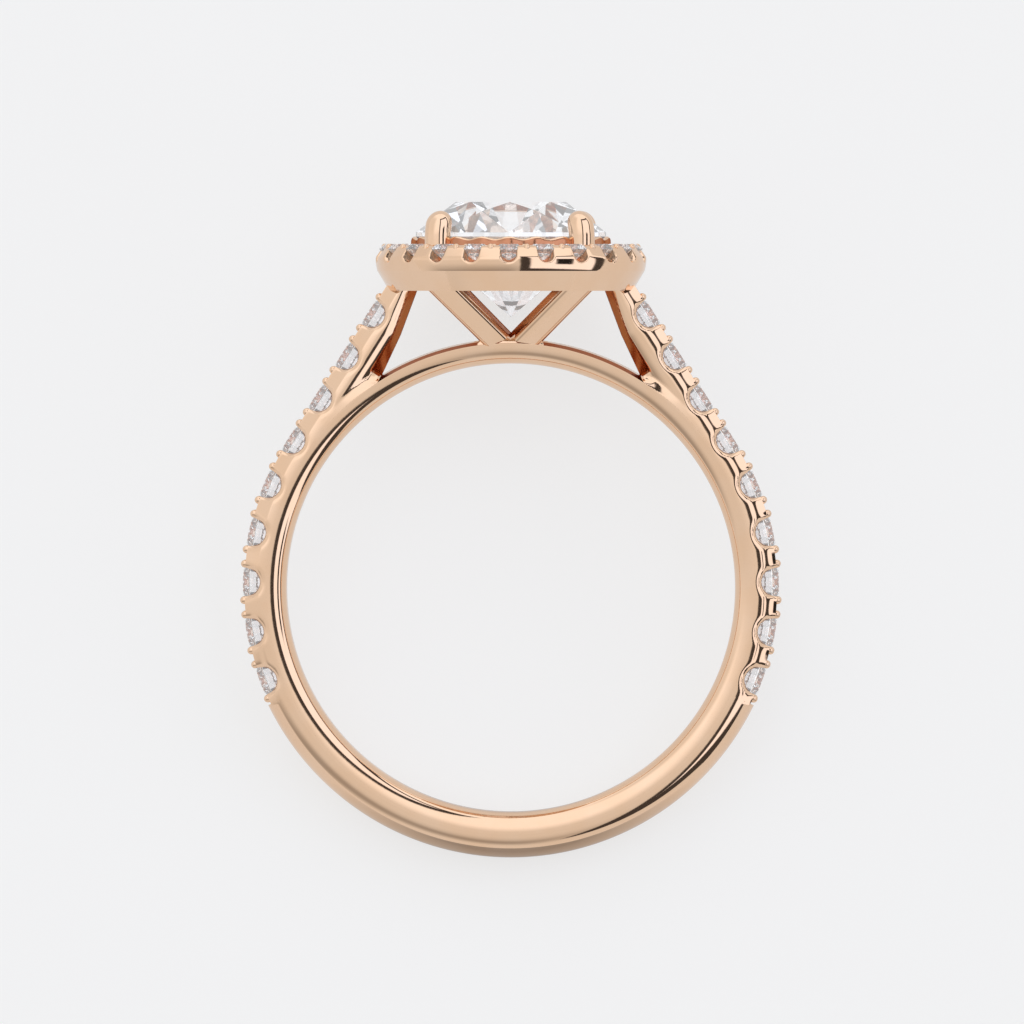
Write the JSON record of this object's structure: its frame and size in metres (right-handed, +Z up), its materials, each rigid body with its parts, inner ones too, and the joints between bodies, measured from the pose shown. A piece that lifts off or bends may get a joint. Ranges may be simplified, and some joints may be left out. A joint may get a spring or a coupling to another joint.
{
  "type": "halo ring",
  "caption": "Finger ring with a large round stone held by prongs, a round halo of small stones, and scalloped stone-set shoulders on a plain domed band.",
  "frame": {"origin": "centre of the finger hole, midway along it", "axes": "+Y points to the head with the large stone, +X across the band, +Z up while the ring lies on its side; the finger hole's axis leans 10.46 degrees from +Z because the ring rests on its band's edge and on the halo's rim"},
  "size_m": [0.02, 0.0241, 0.0098],
  "materials": {
    "rose_gold": "highly polished rose gold",
    "diamond": "clear faceted gemstone"
  },
  "bodies": {
    "root": {"ring_metal": "rose_gold", "centre_stone": "diamond", "halo_stone_01": "diamond", "halo_stone_02": "diamond", "halo_stone_03": "diamond", "halo_stone_04": "diamond", "halo_stone_05": "diamond", "halo_stone_06": "diamond", "halo_stone_07": "diamond", "halo_stone_08": "diamond", "halo_stone_09": "diamond", "halo_stone_10": "diamond", "halo_stone_11": "diamond", "halo_stone_12": "diamond", "halo_stone_13": "diamond", "halo_stone_14": "diamond", "halo_stone_15": "diamond", "halo_stone_16": "diamond", "halo_stone_17": "diamond", "halo_stone_18": "diamond", "halo_stone_19": "diamond", "halo_stone_20": "diamond", "halo_stone_21": "diamond", "halo_stone_22": "diamond", "left_stone_01": "diamond", "left_stone_02": "diamond", "left_stone_03": "diamond", "left_stone_04": "diamond", "left_stone_05": "diamond", "left_stone_06": "diamond", "left_stone_07": "diamond", "left_stone_08": "diamond", "left_stone_09": "diamond", "right_stone_01": "diamond", "right_stone_02": "diamond", "right_stone_03": "diamond", "right_stone_04": "diamond", "right_stone_05": "diamond", "right_stone_06": "diamond", "right_stone_07": "diamond", "right_stone_08": "diamond", "right_stone_09": "diamond"}
  },
  "joints": []
}
